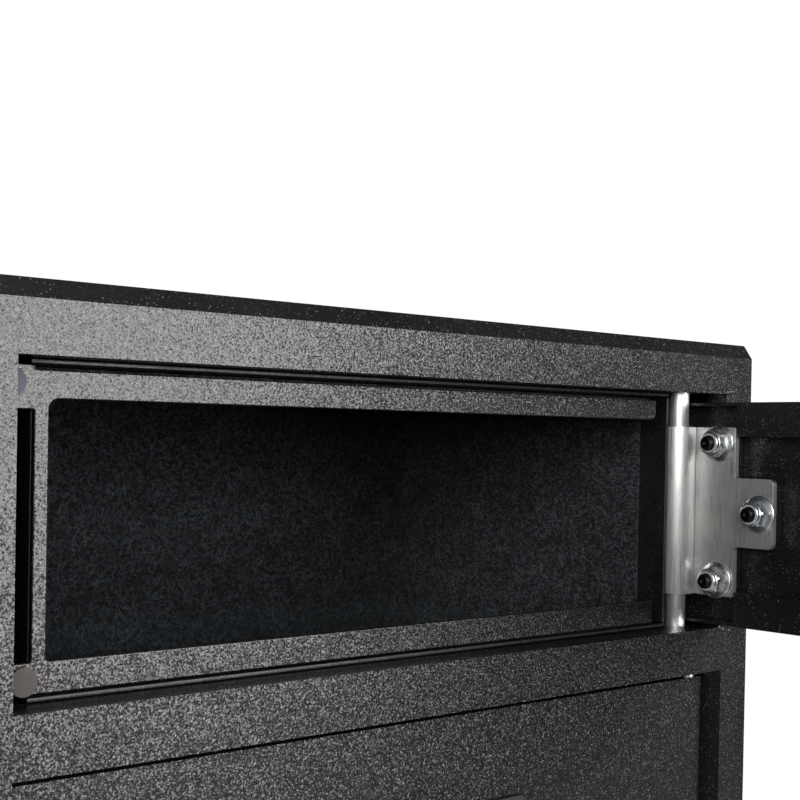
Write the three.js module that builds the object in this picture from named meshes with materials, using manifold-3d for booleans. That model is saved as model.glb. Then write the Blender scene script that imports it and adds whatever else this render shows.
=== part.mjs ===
// Parcel drop box: a steel cabinet with a side-hung drop door over a carpet-lined
// chute, and a main door with an electronic lock below it.
// Millimetres, +Z up. The origin is the middle of the base, and the front faces -Y.
// The drop door stands open at 90 degrees and the main door is closed and unlocked.
import * as THREE from 'three';
import { mergeVertices } from 'three/addons/utils/BufferGeometryUtils.js';
import Module from 'manifold-3d';

const wasm = await Module();
wasm.setup();

// ---- Driving dimensions ----

const GAP = 0.3; // clearance between pieces that touch
const ROUND = 24; // sides of a round piece
const CORNER_STEPS = 2; // smoothness of small rounded corners
const BEND_STEPS = 4; // smoothness of the drop door's rounded hinge edge

// Cabinet
const WIDTH = 350;
const DEPTH = 350;
const HEIGHT = 500;
const PANEL = 2; // side, top, base and back sheet
const FRONT = -DEPTH / 2;
const BACK = DEPTH / 2;

// Front frame: a folded tray with two openings, each edged with inward flanges
const FRAME_SHEET = 2;
const FRAME_RETURN = 8; // how far the folded outer edge runs back
const CHAMFER_HEIGHT = 5.8;
const CHAMFER_DEPTH = 4;
const STILE = 17.5;
const TOP_RAIL = 21.1;
const UPPER_HEIGHT = 97;
const MIDDLE_RAIL = 18;
const BOTTOM_RAIL = 20;
const PIN_FLANGE = 24; // top and bottom flanges, which carry the hinge pins
const UPPER_SIDE_FLANGE = 9.5;
const LOWER_SIDE_FLANGE = 18;

const LEFT = -WIDTH / 2 + STILE; // left edge of both openings
const RIGHT = WIDTH / 2 - STILE;
const UPPER_TOP = HEIGHT - TOP_RAIL;
const UPPER_BOTTOM = UPPER_TOP - UPPER_HEIGHT;
const UPPER_MID = (UPPER_TOP + UPPER_BOTTOM) / 2;
const LOWER_TOP = UPPER_BOTTOM - MIDDLE_RAIL;

// Base anchor holes
const ANCHOR_RADIUS = 7;
const ANCHOR_SPACING = 200;
const MAT_CUTOUT_RADIUS = 12;
const MAT_THICKNESS = 2.5;

// Chute behind the upper opening
const PLATE_FRONT = 10.3; // front of the face plate, measured in from the front
const PLATE_SHEET = 2;
const RAIL_HALF_HEIGHT = 45.5; // outer edge of the lower rail, from mid-height
const UPPER_RAIL_INNER = 37;
const UPPER_RAIL_OUTER = 45;
const LOWER_RAIL_INNER = 36.5;
const STRIP_LEFT = 9.8; // upright strip, measured from the opening's left edge
const STRIP_RIGHT = 13.7;
const RAIL_RIGHT = 282;
const RAIL_CORNER = 3;
const CHUTE_SHEET = 1.5;
const CHUTE_LEFT = 10;
const CHUTE_RIGHT = 293.4;
const CHUTE_BACK = 183.5;
const CHUTE_DROP = 75; // how far the chute's walls reach below mid-height
const CARPET = 1.7;
const ROOF_CARPET = 3;
const ROOF_CARPET_FRONT = 21;
const CARPET_FRONT = 25.5;

// Rubber bumpers on the face plate's left corners
const BUMPER_RADIUS = 4.2;
const BUMPER_STEM_RADIUS = 1.6;
const BUMPERS = [
  { name: 'upper_bumper', x: 4.7, z: 41 },
  { name: 'lower_bumper', x: 7.7, z: -41.2 },
];

// Drop door hinge, measured from the opening's left edge and the front
const PIN_X = 301;
const PIN_Y = 13.3;
const PIN_RADIUS = 4;
const BARREL_RADIUS = 7;
const BARREL_BORE = 4.3;
const BARREL_HALF = 34.5;
const LEAF_SHEET = 2.7;
const LEAF_REACH = 25.2;
const TAB_REACH = 44.5;
const TAB_HALF = 14;
const TAB_CORNER = 3;

// Weld studs and flange nuts that hold the hinge leaf: distance from the pin and height
const STUDS = [
  { reach: 17.4, z: 28 },
  { reach: 37.3, z: 0 },
  { reach: 17.4, z: -28 },
];
const STUD_RADIUS = 3;
const STUD_END = 5.6;
const STUD_PLATE_SHEET = 4.2;
const STUD_PLATE = { left: -48, right: -9, half: 37, corner: 3 };
const NUT_FLANGE_RADIUS = 7.5;
const NUT_FLANGE = 1.6;
const NUT_ACROSS_FLATS = 10;
const NUT_HEIGHT = 7.4;
const NUT_COLLAR = 1.6; // the nylon collar's height above the hexagon

// Drop door pan, in the closed door's own frame with the hinge pin at its origin
const PAN_TOP = 44.7;
const PAN_BOTTOM = -46.3;
const PAN_MID = (PAN_TOP + PAN_BOTTOM) / 2;
const PAN_FREE_EDGE = -298.6;
const PAN_SHEET = 1.5;
const PAN_BACK = -4.1;
const LIP_SHEET = 1.7;
const LIP_HEIGHT = 14;
const FREE_LIP = 10;
const LIP_START = -25.6;

// Cam lock and pull knob of the drop door
const CAM_LOCK_X = -275;
const LOCK_BEZEL_RADIUS = 11;
const LOCK_BODY_RADIUS = 9;
const LOCK_PLUG_RADIUS = 5.5;
const LOCK_BEZEL = 2.2;
const KEYWAY = 1.6;
const KEYWAY_HALF_HEIGHT = 3.5;
const LOCK_NUT_RADIUS = 13;
const CAM_REACH = 21;
const CAM_SHEET = 2;
const CAM_HALF_WIDTH = 6;
const KNOB_X = -235;
const KNOB_STAND_OFF = 16;
const KNOB_SCREW_RADIUS = 2;
const KNOB_SCREW_HEAD = 4.5;
const KNOB_SCREW_GRIP = 8;

// Main door
const DOOR_RECESS = 8;
const DOOR_PLATE = 5;
const DOOR_GAP = 2.2;
const PIVOT_X = 307.5;
const PIVOT_Y = 11.5;
const PIVOT_RADIUS = 3;
const PIVOT_DEPTH = 25; // length of pivot pin let into the door
const DOOR_RIGHT = 312.3;

// Electronic lock on the main door
const HOUSING_HALF = 33.7;
const HOUSING_TOP = 325;
const HOUSING_BOTTOM = 205.4;
const HOUSING_WALL = 2.5;
const HOUSING_STAND_OFF = 15;
const HOUSING_CORNER = 6;
const LOCK_FLANGE = { half: 49.4, bottom: 202, top: 328.2, thickness: 2, corner: 5 };
const KEY_COLUMNS = 3;
const KEY_ROWS = 4;
const KEY_PITCH_X = 17;
const KEY_PITCH_Z = 15;
const KEY_TOP_ROW = 316;
const KEY_WIDTH = 13;
const KEY_HEIGHT = 10;
const KEY_CORNER = 2;
const KEY_PROUD = 2;
const KEY_LENGTH = 6.5;
const DIAL_Z = 236;
const DIAL_RADIUS = 16;
const DIAL_BASE = 5;
const DIAL_GRIP = 13;
const GRIP_HALF_WIDTH = 4.5;
const GRIP_HALF_LENGTH = 15;
const SPINDLE_RADIUS = 6;

// Boltwork behind the main door, measured in from the front
const BOLT_HEIGHTS = [70, 192, 314];
const BOLT_RADIUS = 6;
const BOLT_Y = 32; // clear behind the frame's deepest flange
const BOLT_TIP = -152;
const BOLT_END = -106;
const CARRIAGE_FRONT = 30;
const CARRIAGE_SHEET = 4;
const CARRIAGE_RIGHT = -90;
const CARRIAGE_BOTTOM = 55;
const CARRIAGE_TOP = 330;
const ARM_BELOW = 3; // the carriage's arm, below and above the spindle's centre
const ARM_ABOVE = 17;
const ARM_PAST_PIN = 9;
const CRANK_RADIUS = 12;
const CRANK_FRONT = 26;
const CRANK_SHEET = 3.5;
const CRANK_OFFSET = 6; // crank pin, right of and above the spindle
const CRANK_PIN_RADIUS = 2.5;
const CRANK_SLACK = 0.8; // play between the crank pin and its slot
const SOLENOID = { left: -62, right: -30, back: 35, bottom: 262, top: 284 };
const BATTERY_COVER = { left: 30, right: 105, bottom: 245, top: 305, corner: 4, thickness: 3 };
const GUIDE_X = -138;
const GUIDE_SHEET = 3;
const COVER_BACK = 44;
const COVER_SHEET = 1.5;
const COVER_RIGHT = 130;
const COVER_BOTTOM = 44;
const COVER_TOP = 341;

// ---- Materials ----

const finish = (color, roughness, metalness) =>
  () => new THREE.MeshStandardMaterial({ color, roughness, metalness });
const powderCoat = finish(0x1c1c1d, 0.6, 0.1);
const carpet = finish(0x12141a, 0.95, 0);
const zinc = finish(0xc4c8cc, 0.35, 0.9);
const greyRubber = finish(0x8c8a88, 0.8, 0);
const blackPlastic = finish(0x101011, 0.45, 0);
const keyPlastic = finish(0x2b2c2e, 0.5, 0);
const chrome = finish(0xd8dadd, 0.15, 1);
const steel = finish(0x9a9da1, 0.4, 0.9);

// ---- Shape helpers ----

const X = new THREE.Vector3(1, 0, 0);
const Y = new THREE.Vector3(0, 1, 0);
const Z = new THREE.Vector3(0, 0, 1);
const PLANES = {
  XY: [X, Y, Z],
  YZ: [Y, Z, X],
  XZ: [X, Z, Y.clone().negate()],
};

// Positions inside the upper opening: from its left edge, in from the front, from its middle.
const fromLeft = (x) => LEFT + x;
const inFrom = (y) => FRONT + y;
const above = (z) => UPPER_MID + z;

function box(x0, x1, y0, y1, z0, z1) {
  const geometry = new THREE.BoxGeometry(x1 - x0, y1 - y0, z1 - z0);
  return geometry.translate((x0 + x1) / 2, (y0 + y1) / 2, (z0 + z1) / 2);
}

// A flat outline, drawn in the named plane and given thickness along the third axis.
function extruded(shape, plane, from, to, curveSegments = CORNER_STEPS) {
  const settings = { depth: to - from, bevelEnabled: false, curveSegments };
  const geometry = new THREE.ExtrudeGeometry(shape, settings);
  geometry.translate(0, 0, plane === 'XZ' ? -to : from);
  return geometry.applyMatrix4(new THREE.Matrix4().makeBasis(...PLANES[plane]));
}

function polygon(points) {
  return new THREE.Shape(points.map(([u, v]) => new THREE.Vector2(u, v)));
}

function rectangle(u0, v0, u1, v1, corner) {
  const shape = new THREE.Shape();
  shape.moveTo(u0 + corner, v0);
  shape.lineTo(u1 - corner, v0);
  shape.absarc(u1 - corner, v0 + corner, corner, -Math.PI / 2, 0);
  shape.lineTo(u1, v1 - corner);
  shape.absarc(u1 - corner, v1 - corner, corner, 0, Math.PI / 2);
  shape.lineTo(u0 + corner, v1);
  shape.absarc(u0 + corner, v1 - corner, corner, Math.PI / 2, Math.PI);
  shape.lineTo(u0, v0 + corner);
  shape.absarc(u0 + corner, v0 + corner, corner, Math.PI, Math.PI * 1.5);
  return shape;
}

// A round or prismatic bar along one axis; at holds its place on the other two axes.
function rod(axis, at, from, to, radius, sides = ROUND) {
  const geometry = new THREE.CylinderGeometry(radius, radius, to - from, sides);
  const middle = (from + to) / 2;
  if (axis === 'X') {
    return geometry.rotateZ(Math.PI / 2).translate(middle, at[0], at[1]);
  }
  if (axis === 'Y') {
    return geometry.translate(at[0], middle, at[1]);
  }
  return geometry.rotateX(Math.PI / 2).translate(at[0], at[1], middle);
}

function toSolid(piece) {
  if (!piece.isBufferGeometry) {
    return piece;
  }
  const plain = piece.clone();
  plain.deleteAttribute('normal');
  plain.deleteAttribute('uv');
  const merged = mergeVertices(plain);
  return new wasm.Manifold(new wasm.Mesh({
    numProp: 3,
    vertProperties: new Float32Array(merged.attributes.position.array),
    triVerts: new Uint32Array(merged.index.array),
  }));
}

function toGeometry(solid) {
  const mesh = solid.getMesh();
  const geometry = new THREE.BufferGeometry();
  geometry.setAttribute('position', new THREE.BufferAttribute(mesh.vertProperties, 3));
  geometry.setIndex(new THREE.BufferAttribute(mesh.triVerts, 1));
  geometry.computeVertexNormals();
  return geometry;
}

const join = (...pieces) => pieces.map(toSolid).reduce((a, b) => a.add(b));
const cut = (base, ...tools) => tools.map(toSolid).reduce((a, b) => a.subtract(b), toSolid(base));

function add(group, name, material, piece) {
  const geometry = piece.isBufferGeometry ? piece : toGeometry(piece);
  const mesh = new THREE.Mesh(geometry, material());
  mesh.name = name;
  group.add(mesh);
}

// ---- Cabinet ----

// Tray profile across the frame, with the chamfer along the top front edge.
function frameProfile(inset) {
  const front = FRONT + inset;
  const top = HEIGHT - inset;
  return polygon([
    [front, inset],
    [FRONT + FRAME_RETURN + inset, inset],
    [FRONT + FRAME_RETURN + inset, top],
    [FRONT + CHAMFER_DEPTH + inset / 2, top],
    [front, HEIGHT - CHAMFER_HEIGHT - inset / 2],
  ]);
}

// The inward flanges around one opening: deep at top and bottom, shallow at the sides.
function openingFlanges(bottom, top, sideDepth) {
  const t = FRAME_SHEET;
  return [
    box(LEFT - t, RIGHT + t, FRONT, inFrom(PIN_FLANGE), top, top + t),
    box(LEFT - t, RIGHT + t, FRONT, inFrom(PIN_FLANGE), bottom - t, bottom),
    box(LEFT - t, LEFT, FRONT, inFrom(sideDepth), bottom - t, top + t),
    box(RIGHT, RIGHT + t, FRONT, inFrom(sideDepth), bottom - t, top + t),
  ];
}

function frontFrame() {
  const half = WIDTH / 2;
  const t = FRAME_SHEET;
  const hollow = extruded(frameProfile(t), 'YZ', -half + t, half - t);
  const tray = cut(extruded(frameProfile(0), 'YZ', -half, half), hollow);
  const cutFront = FRONT - 1;
  const cutBack = FRONT + FRAME_SHEET + 1;
  const openTray = cut(
    tray,
    box(LEFT, RIGHT, cutFront, cutBack, UPPER_BOTTOM, UPPER_TOP),
    box(LEFT, RIGHT, cutFront, cutBack, BOTTOM_RAIL, LOWER_TOP),
  );
  const flanged = join(
    openTray,
    ...openingFlanges(UPPER_BOTTOM, UPPER_TOP, UPPER_SIDE_FLANGE),
    ...openingFlanges(BOTTOM_RAIL, LOWER_TOP, LOWER_SIDE_FLANGE),
  );
  const dropPin = [fromLeft(PIN_X), inFrom(PIN_Y)];
  const doorPivot = [fromLeft(PIVOT_X), inFrom(PIVOT_Y)];
  const past = 1;
  return cut(
    flanged,
    rod('Z', dropPin, UPPER_BOTTOM - t - past, UPPER_TOP + t + past, PIN_RADIUS + GAP),
    rod('Z', doorPivot, LOWER_TOP - past, LOWER_TOP + t + past, PIVOT_RADIUS + GAP),
    rod('Z', doorPivot, BOTTOM_RAIL - t - past, BOTTOM_RAIL + past, PIVOT_RADIUS + GAP),
  );
}

function addCabinetPanels(group) {
  const half = WIDTH / 2;
  const behindFrame = FRONT + FRAME_RETURN + GAP;
  const beforeBack = BACK - PANEL - GAP;
  const sideBottom = PANEL + GAP;
  const sideTop = HEIGHT - PANEL - GAP;
  const anchors = [-ANCHOR_SPACING / 2, ANCHOR_SPACING / 2];
  add(group, 'front_frame', powderCoat, frontFrame());
  add(group, 'left_side_panel', powderCoat,
    box(-half, -half + PANEL, behindFrame, beforeBack, sideBottom, sideTop));
  add(group, 'right_side_panel', powderCoat,
    box(half - PANEL, half, behindFrame, beforeBack, sideBottom, sideTop));
  add(group, 'top_panel', powderCoat,
    box(-half, half, behindFrame, beforeBack, HEIGHT - PANEL, HEIGHT));
  add(group, 'base_panel', powderCoat, cut(
    box(-half, half, behindFrame, beforeBack, 0, PANEL),
    ...anchors.map((y) => rod('Z', [0, y], -1, PANEL + 1, ANCHOR_RADIUS)),
  ));
  add(group, 'back_panel', powderCoat, box(-half, half, BACK - PANEL, BACK, 0, HEIGHT));
  const matBottom = PANEL + GAP;
  const matTop = matBottom + MAT_THICKNESS;
  const matSide = half - PANEL - 1;
  add(group, 'floor_mat', carpet, cut(
    box(-matSide, matSide, inFrom(PIN_FLANGE), beforeBack - 1, matBottom, matTop),
    ...anchors.map((y) => rod('Z', [0, y], matBottom - 1, matTop + 1, MAT_CUTOUT_RADIUS)),
  ));
}

// ---- Chute ----

// C-shaped face plate: two rails joined by a slim upright strip, open on the right.
function facePlate() {
  const left = fromLeft(GAP + 0.1);
  const right = fromLeft(RAIL_RIGHT);
  const outline = new THREE.Shape();
  outline.moveTo(left, above(-RAIL_HALF_HEIGHT));
  outline.lineTo(right, above(-RAIL_HALF_HEIGHT));
  outline.lineTo(right, above(-LOWER_RAIL_INNER));
  outline.lineTo(fromLeft(STRIP_RIGHT), above(-LOWER_RAIL_INNER));
  outline.lineTo(fromLeft(STRIP_RIGHT), above(UPPER_RAIL_INNER));
  outline.lineTo(right - RAIL_CORNER, above(UPPER_RAIL_INNER));
  outline.absarc(right - RAIL_CORNER, above(UPPER_RAIL_INNER + RAIL_CORNER),
    RAIL_CORNER, -Math.PI / 2, 0);
  outline.lineTo(right, above(UPPER_RAIL_OUTER));
  outline.lineTo(left, above(UPPER_RAIL_OUTER));
  outline.lineTo(left, above(UPPER_RAIL_INNER));
  outline.lineTo(fromLeft(STRIP_LEFT), above(UPPER_RAIL_INNER));
  outline.lineTo(fromLeft(STRIP_LEFT), above(-LOWER_RAIL_INNER));
  outline.lineTo(left, above(-LOWER_RAIL_INNER));
  const front = inFrom(PLATE_FRONT);
  const back = front + PLATE_SHEET;
  const holes = BUMPERS.map(({ x, z }) =>
    rod('Y', [fromLeft(x), above(z)], front - 1, back + 1, BUMPER_STEM_RADIUS + GAP, 16));
  return cut(extruded(outline, 'XZ', front, back), ...holes);
}

function addBumpers(group) {
  for (const { name, x, z } of BUMPERS) {
    const at = [fromLeft(x), above(z)];
    const headBack = inFrom(PLATE_FRONT - GAP);
    const stemEnd = inFrom(PLATE_FRONT + PLATE_SHEET + 1.2);
    add(group, name, greyRubber, join(
      rod('Y', at, headBack - 0.5, headBack, BUMPER_RADIUS),
      rod('Y', at, headBack - 0.2, stemEnd, BUMPER_STEM_RADIUS, 16),
    ));
  }
}

function addChute(group) {
  const s = CHUTE_SHEET;
  const insideTop = above(UPPER_HEIGHT / 2 - GAP - s); // underside of the roof sheet
  const insideBottom = above(-UPPER_HEIGHT / 2 + GAP + s); // top of the shelf sheet
  const sheetFront = inFrom(PLATE_FRONT + PLATE_SHEET + GAP);
  const back = inFrom(CHUTE_BACK);
  const left = fromLeft(CHUTE_LEFT);
  const right = fromLeft(CHUTE_RIGHT);
  const wallTop = insideTop - GAP;
  const wallBack = back - GAP;
  const wallFoot = above(-CHUTE_DROP);
  const behindFlange = inFrom(PIN_FLANGE + GAP);
  const wall = polygon([
    [sheetFront, insideBottom + GAP],
    [behindFlange, insideBottom + GAP],
    [behindFlange, wallFoot],
    [wallBack, wallFoot],
    [wallBack, wallTop],
    [sheetFront, wallTop],
  ]);
  add(group, 'chute_face_plate', powderCoat, facePlate());
  add(group, 'chute_left_wall', powderCoat, extruded(wall, 'YZ', left, left + s));
  add(group, 'chute_right_wall', powderCoat, extruded(wall, 'YZ', right - s, right));
  add(group, 'chute_roof', powderCoat,
    box(left, right, sheetFront, back + s, insideTop, insideTop + s));
  add(group, 'chute_shelf', powderCoat,
    box(left, right, sheetFront, inFrom(PIN_FLANGE), insideBottom - s, insideBottom));
  add(group, 'chute_back_baffle', powderCoat,
    box(left, right, back, back + s, wallFoot, wallTop));

  const carpetTop = wallTop - ROOF_CARPET - GAP;
  const carpetFront = inFrom(CARPET_FRONT);
  const carpetBack = wallBack - CARPET;
  const carpetLeft = left + s + GAP;
  const carpetRight = right - s - GAP;
  add(group, 'left_carpet', carpet, box(carpetLeft, carpetLeft + CARPET,
    carpetFront, carpetBack - GAP, wallFoot, carpetTop));
  add(group, 'right_carpet', carpet, box(carpetRight - CARPET, carpetRight,
    carpetFront, carpetBack - GAP, wallFoot, carpetTop));
  add(group, 'back_carpet', carpet, box(carpetLeft, carpetRight,
    carpetBack, wallBack, wallFoot, carpetTop));
  add(group, 'roof_carpet', carpet, box(carpetLeft, carpetRight,
    inFrom(ROOF_CARPET_FRONT), wallBack, wallTop - ROOF_CARPET, wallTop));
}

// ---- Drop door, drawn closed about its hinge pin ----

function dropDoorPan() {
  const outerRadius = PIN_Y;
  const innerRadius = PIN_Y - PAN_SHEET;
  const edgeAngle = Math.asin(PAN_BACK / outerRadius);
  const outline = new THREE.Shape();
  outline.moveTo(PAN_FREE_EDGE, PAN_BACK);
  outline.lineTo(PAN_FREE_EDGE, -outerRadius);
  outline.lineTo(0, -outerRadius);
  outline.absarc(0, 0, outerRadius, -Math.PI / 2, edgeAngle);
  const hollow = new THREE.Shape();
  hollow.moveTo(PAN_FREE_EDGE + PAN_SHEET, 0);
  hollow.lineTo(PAN_FREE_EDGE + PAN_SHEET, -innerRadius);
  hollow.lineTo(0, -innerRadius);
  hollow.absarc(0, 0, innerRadius, -Math.PI / 2, 0);
  const tray = cut(
    extruded(outline, 'XY', PAN_BOTTOM, PAN_TOP, BEND_STEPS),
    extruded(hollow, 'XY', PAN_BOTTOM + PAN_SHEET, PAN_TOP - PAN_SHEET, BEND_STEPS),
  );
  const lipFront = PAN_BACK - LIP_SHEET;
  const freeLip = PAN_FREE_EDGE + FREE_LIP;
  const lipped = join(
    tray,
    box(PAN_FREE_EDGE, LIP_START, lipFront, PAN_BACK, PAN_TOP - LIP_HEIGHT, PAN_TOP),
    box(PAN_FREE_EDGE, LIP_START, lipFront, PAN_BACK, PAN_BOTTOM, PAN_BOTTOM + LIP_HEIGHT),
    box(PAN_FREE_EDGE, freeLip, lipFront, PAN_BACK, PAN_BOTTOM, PAN_TOP),
  );
  const skinFront = -outerRadius - 1;
  const skinBack = -innerRadius + 1;
  return cut(
    lipped,
    rod('Z', [0, 0], PAN_BOTTOM - 1, PAN_TOP + 1, PIN_RADIUS + 2 * GAP),
    rod('Y', [CAM_LOCK_X, PAN_MID], skinFront, skinBack, LOCK_BODY_RADIUS + GAP),
    rod('Y', [KNOB_X, PAN_MID], skinFront, skinBack, KNOB_SCREW_RADIUS + GAP, 16),
  );
}

function hingeLeaf() {
  const r = TAB_CORNER;
  const outline = new THREE.Shape();
  outline.moveTo(0, -BARREL_HALF);
  outline.lineTo(0, BARREL_HALF);
  outline.lineTo(-LEAF_REACH, BARREL_HALF);
  outline.lineTo(-LEAF_REACH, TAB_HALF);
  outline.lineTo(-TAB_REACH + r, TAB_HALF);
  outline.absarc(-TAB_REACH + r, TAB_HALF - r, r, Math.PI / 2, Math.PI);
  outline.lineTo(-TAB_REACH, -TAB_HALF + r);
  outline.absarc(-TAB_REACH + r, -TAB_HALF + r, r, Math.PI, Math.PI * 1.5);
  outline.lineTo(-LEAF_REACH, -TAB_HALF);
  outline.lineTo(-LEAF_REACH, -BARREL_HALF);
  const front = -BARREL_RADIUS;
  const leaf = extruded(outline, 'XZ', front, front + LEAF_SHEET);
  const barrel = rod('Z', [0, 0], -BARREL_HALF, BARREL_HALF, BARREL_RADIUS, 32);
  const holes = STUDS.map(({ reach, z }) =>
    rod('Y', [-reach, z], front - 1, front + LEAF_SHEET + 1, STUD_RADIUS + GAP));
  const bore = rod('Z', [0, 0], -BARREL_HALF - 1, BARREL_HALF + 1, BARREL_BORE);
  return cut(join(leaf, barrel), bore, ...holes);
}

function studPlate() {
  const front = -(PIN_Y - PAN_SHEET) + GAP;
  const back = front + STUD_PLATE_SHEET;
  const outline = rectangle(STUD_PLATE.left, -STUD_PLATE.half, STUD_PLATE.right,
    STUD_PLATE.half, STUD_PLATE.corner);
  const studs = STUDS.map(({ reach, z }) =>
    rod('Y', [-reach, z], back - 1, STUD_END, STUD_RADIUS));
  return join(extruded(outline, 'XZ', front, back), ...studs);
}

function hingeNut({ reach, z }) {
  const seat = -BARREL_RADIUS + LEAF_SHEET + GAP;
  const at = [-reach, z];
  const hexRadius = NUT_ACROSS_FLATS / Math.sqrt(3);
  return cut(
    join(
      rod('Y', at, seat, seat + NUT_FLANGE, NUT_FLANGE_RADIUS),
      rod('Y', at, seat + 1, seat + NUT_HEIGHT - NUT_COLLAR, hexRadius, 6),
      rod('Y', at, seat + 1, seat + NUT_HEIGHT, NUT_ACROSS_FLATS / 2 - 0.3),
    ),
    rod('Y', at, seat - 1, seat + NUT_HEIGHT + 1, STUD_RADIUS + GAP),
  );
}

// The cam points down when it is free and turns towards the free edge to lock.
function lockCam() {
  const outline = new THREE.Shape();
  outline.moveTo(CAM_LOCK_X + CAM_HALF_WIDTH, PAN_MID);
  outline.absarc(CAM_LOCK_X, PAN_MID, CAM_HALF_WIDTH, 0, Math.PI);
  outline.lineTo(CAM_LOCK_X - CAM_HALF_WIDTH, PAN_MID - CAM_REACH);
  outline.lineTo(CAM_LOCK_X + CAM_HALF_WIDTH, PAN_MID - CAM_REACH);
  return extruded(outline, 'XZ', GAP, GAP + CAM_SHEET);
}

function addCamLock(group) {
  const at = [CAM_LOCK_X, PAN_MID];
  const seat = -PIN_Y - GAP;
  const skinBack = -PIN_Y + PAN_SHEET;
  const face = seat - LOCK_BEZEL;
  add(group, 'cam_lock_barrel', chrome, cut(
    join(
      rod('Y', at, face, seat, LOCK_BEZEL_RADIUS, 32),
      rod('Y', at, seat - 1, 0, LOCK_BODY_RADIUS),
    ),
    rod('Y', at, face - 1, 1, LOCK_PLUG_RADIUS + GAP),
  ));
  add(group, 'cam_lock_plug', chrome, cut(
    rod('Y', at, face + 0.2, 0, LOCK_PLUG_RADIUS),
    box(at[0] - KEYWAY / 2, at[0] + KEYWAY / 2, face - 1, face + 5,
      at[1] - KEYWAY_HALF_HEIGHT, at[1] + KEYWAY_HALF_HEIGHT),
  ));
  add(group, 'cam_lock_nut', zinc, cut(
    rod('Y', at, skinBack + GAP, skinBack + 3, LOCK_NUT_RADIUS, 6),
    rod('Y', at, skinBack - 1, skinBack + 4, LOCK_BODY_RADIUS + GAP),
  ));
  add(group, 'drop_lock_cam', zinc, lockCam());
}

function pullKnob() {
  const seat = -PIN_Y - GAP;
  const profile = [
    [0, 0],
    [7, 0],
    [5, 4],
    [5.5, 7],
    [11, 10],
    [11, KNOB_STAND_OFF - 1.5],
    [9.5, KNOB_STAND_OFF],
    [0, KNOB_STAND_OFF],
  ].map(([r, y]) => new THREE.Vector2(r, y));
  const turned = new THREE.LatheGeometry(profile, ROUND);
  turned.rotateX(Math.PI).translate(KNOB_X, seat, PAN_MID);
  return cut(turned, rod('Y', [KNOB_X, PAN_MID], seat - KNOB_SCREW_GRIP - 1, seat + 1,
    KNOB_SCREW_RADIUS + GAP, 16));
}

function addDropDoor(group) {
  add(group, 'drop_door_pan', powderCoat, dropDoorPan());
  add(group, 'hinge_stud_plate', steel, studPlate());
  add(group, 'drop_door_hinge_leaf', zinc, hingeLeaf());
  STUDS.forEach((stud, i) => add(group, `hinge_nut_${i + 1}`, zinc, hingeNut(stud)));
  addCamLock(group);
  add(group, 'pull_knob', chrome, pullKnob());
  const skinBack = -PIN_Y + PAN_SHEET;
  const at = [KNOB_X, PAN_MID];
  add(group, 'pull_knob_screw', zinc, join(
    rod('Y', at, skinBack + GAP, skinBack + 3, KNOB_SCREW_HEAD, 16),
    rod('Y', at, -PIN_Y - KNOB_SCREW_GRIP, skinBack + 1, KNOB_SCREW_RADIUS, 16),
  ));
}

// ---- Main door ----

function addMainDoor(group) {
  const front = inFrom(DOOR_RECESS);
  const back = front + DOOR_PLATE;
  const left = LEFT + DOOR_GAP;
  const right = fromLeft(DOOR_RIGHT);
  const bottom = BOTTOM_RAIL + DOOR_GAP;
  const top = LOWER_TOP - DOOR_GAP;
  const pivot = [fromLeft(PIVOT_X), inFrom(PIVOT_Y)];
  const seatRadius = PIVOT_RADIUS + GAP;
  add(group, 'main_door_plate', powderCoat, cut(
    box(left, right, front, back, bottom, top),
    rod('Z', pivot, top - PIVOT_DEPTH - GAP, top + 1, seatRadius),
    rod('Z', pivot, bottom - 1, bottom + PIVOT_DEPTH + GAP, seatRadius),
    rod('Y', [0, DIAL_Z], front - 1, back + 1, SPINDLE_RADIUS + GAP),
  ));
  const reach = DOOR_GAP + FRAME_SHEET + 3;
  add(group, 'upper_pivot_pin', steel,
    rod('Z', pivot, top - PIVOT_DEPTH, top + reach, PIVOT_RADIUS));
  add(group, 'lower_pivot_pin', steel,
    rod('Z', pivot, bottom - reach, bottom + PIVOT_DEPTH, PIVOT_RADIUS));
  const guideFront = back + GAP;
  add(group, 'bolt_guide', steel, cut(
    box(GUIDE_X, GUIDE_X + GUIDE_SHEET, guideFront, inFrom(COVER_BACK), COVER_BOTTOM, COVER_TOP),
    ...BOLT_HEIGHTS.map((z) => rod('X', [inFrom(BOLT_Y), z],
      GUIDE_X - 1, GUIDE_X + GUIDE_SHEET + 1, BOLT_RADIUS + GAP)),
  ));
  const coverLeft = GUIDE_X + GUIDE_SHEET + GAP;
  const s = COVER_SHEET;
  add(group, 'inner_cover', powderCoat, cut(
    box(coverLeft, COVER_RIGHT, guideFront, inFrom(COVER_BACK), COVER_BOTTOM, COVER_TOP),
    box(coverLeft - 1, COVER_RIGHT - s, guideFront - 1, inFrom(COVER_BACK - s),
      COVER_BOTTOM + s, COVER_TOP - s),
  ));
  const battery = BATTERY_COVER;
  const coverOutline = rectangle(battery.left, battery.bottom, battery.right, battery.top,
    battery.corner);
  add(group, 'battery_cover', blackPlastic, extruded(coverOutline, 'XZ',
    inFrom(COVER_BACK) + GAP, inFrom(COVER_BACK) + battery.thickness));
  add(group, 'lock_solenoid', steel, box(SOLENOID.left, SOLENOID.right,
    guideFront, inFrom(SOLENOID.back), SOLENOID.bottom, SOLENOID.top));
}

// ---- Electronic lock ----

function keyCentres() {
  const centres = [];
  for (let row = 0; row < KEY_ROWS; row += 1) {
    for (let column = 0; column < KEY_COLUMNS; column += 1) {
      const x = (column - (KEY_COLUMNS - 1) / 2) * KEY_PITCH_X;
      centres.push([x, KEY_TOP_ROW - row * KEY_PITCH_Z]);
    }
  }
  return centres;
}

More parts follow.
